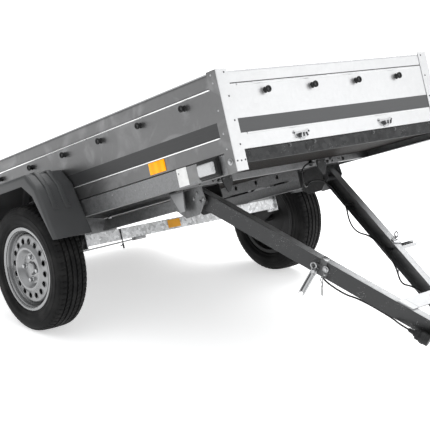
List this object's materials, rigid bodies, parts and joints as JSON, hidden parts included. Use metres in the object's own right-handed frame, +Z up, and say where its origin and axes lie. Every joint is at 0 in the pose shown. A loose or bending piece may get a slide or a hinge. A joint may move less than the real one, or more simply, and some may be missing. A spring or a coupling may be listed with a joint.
{
  "type": "utility trailer",
  "caption": "Single-axle box trailer with steel boards, tarpaulin hooks, mudguards, a tipping drawbar hinge and a tailgate, parked nose-up on its coupling.",
  "frame": {"origin": "on the ground, midway along the bounding box, on the trailer's centre line", "axes": "+X forward to the coupling, +Y to the trailer's left, +Z up"},
  "size_m": [3.0773, 1.605, 1.1891],
  "materials": {
    "galvanised": "spangled galvanised steel",
    "bright_zinc": "bright zinc plated steel",
    "board_zinc": "satin galvanised sheet with a dark grey stripe",
    "plywood": "film-faced plywood",
    "black_plastic": "moulded black plastic",
    "tyre": "black rubber",
    "wheel_silver": "silver painted steel",
    "hub_steel": "dark coated steel",
    "clear_lens": "clear lamp lens",
    "red_lens": "red lamp lens",
    "amber_lens": "amber reflector"
  },
  "bodies": {
    "bed": {"floor_panel": "plywood", "front_board": "board_zinc", "side_board_right": "board_zinc", "side_board_left": "board_zinc", "corner_post_front_right": "bright_zinc", "corner_post_front_left": "bright_zinc", "corner_post_rear_right": "bright_zinc", "corner_post_rear_left": "bright_zinc", "frame_side_right": "galvanised", "frame_side_left": "galvanised", "front_sill": "galvanised", "rear_sill": "galvanised", "front_crossbeam": "galvanised", "under_rail_right": "galvanised", "under_rail_left": "galvanised", "axle_beam": "galvanised", "axle_bracket_right": "galvanised", "axle_bracket_left": "galvanised", "swing_arm_right": "hub_steel", "swing_arm_left": "hub_steel", "mudguard_right": "black_plastic", "mudguard_left": "black_plastic", "hinge_bracket_right": "galvanised", "hinge_bracket_left": "galvanised", "lock_keepers": "galvanised", "tarp_hooks_right": "black_plastic", "tarp_hooks_left": "black_plastic", "tarp_hooks_front": "black_plastic", "front_lamp_base_right": "black_plastic", "front_lamp_lens_right": "clear_lens", "front_lamp_base_left": "black_plastic", "front_lamp_lens_left": "clear_lens", "rear_lamp_right": "red_lens", "rear_lamp_left": "red_lens", "side_reflector_right": "amber_lens", "side_reflector_left": "amber_lens", "gate_hinge_pins": "galvanised", "cable_chassis": "black_plastic"},
    "drawbar": {"drawbar_rail_right": "galvanised", "drawbar_rail_left": "galvanised", "drawbar_cross_bar": "galvanised", "nose_plates": "galvanised", "coupling_head": "bright_zinc", "coupling_handle": "bright_zinc", "drawbar_lock_right": "bright_zinc", "drawbar_lock_left": "bright_zinc", "trailer_plug": "black_plastic", "cable_drawbar": "black_plastic"},
    "tailgate": {"tailgate_board": "board_zinc", "gate_hinge_straps": "galvanised", "tarp_hooks_rear": "black_plastic"},
    "wheel_right": {"tyre_right": "tyre", "rim_right": "wheel_silver", "hub_right": "hub_steel"},
    "wheel_left": {"tyre_left": "tyre", "rim_left": "wheel_silver", "hub_left": "hub_steel"}
  },
  "joints": [
    {"name": "drawbar_hinge", "type": "hinge", "parent": "bed", "child": "drawbar", "pos_m": [0.15227, 0, 0.62713], "axis": [0, 1, 0], "range_deg": [-41.77, 8]},
    {"name": "tailgate_hinge", "type": "hinge", "parent": "bed", "child": "tailgate", "pos_m": [-1.44722, 0, 0.21311], "axis": [0, -1, 0], "range_deg": [0, 90]},
    {"name": "wheel_right_spin", "type": "hinge", "parent": "bed", "child": "wheel_right", "pos_m": [-0.54973, -0.725, 0.2735], "axis": [0, 1, 0], "continuous": true},
    {"name": "wheel_left_spin", "type": "hinge", "parent": "bed", "child": "wheel_left", "pos_m": [-0.54973, 0.725, 0.2735], "axis": [0, 1, 0], "continuous": true}
  ]
}
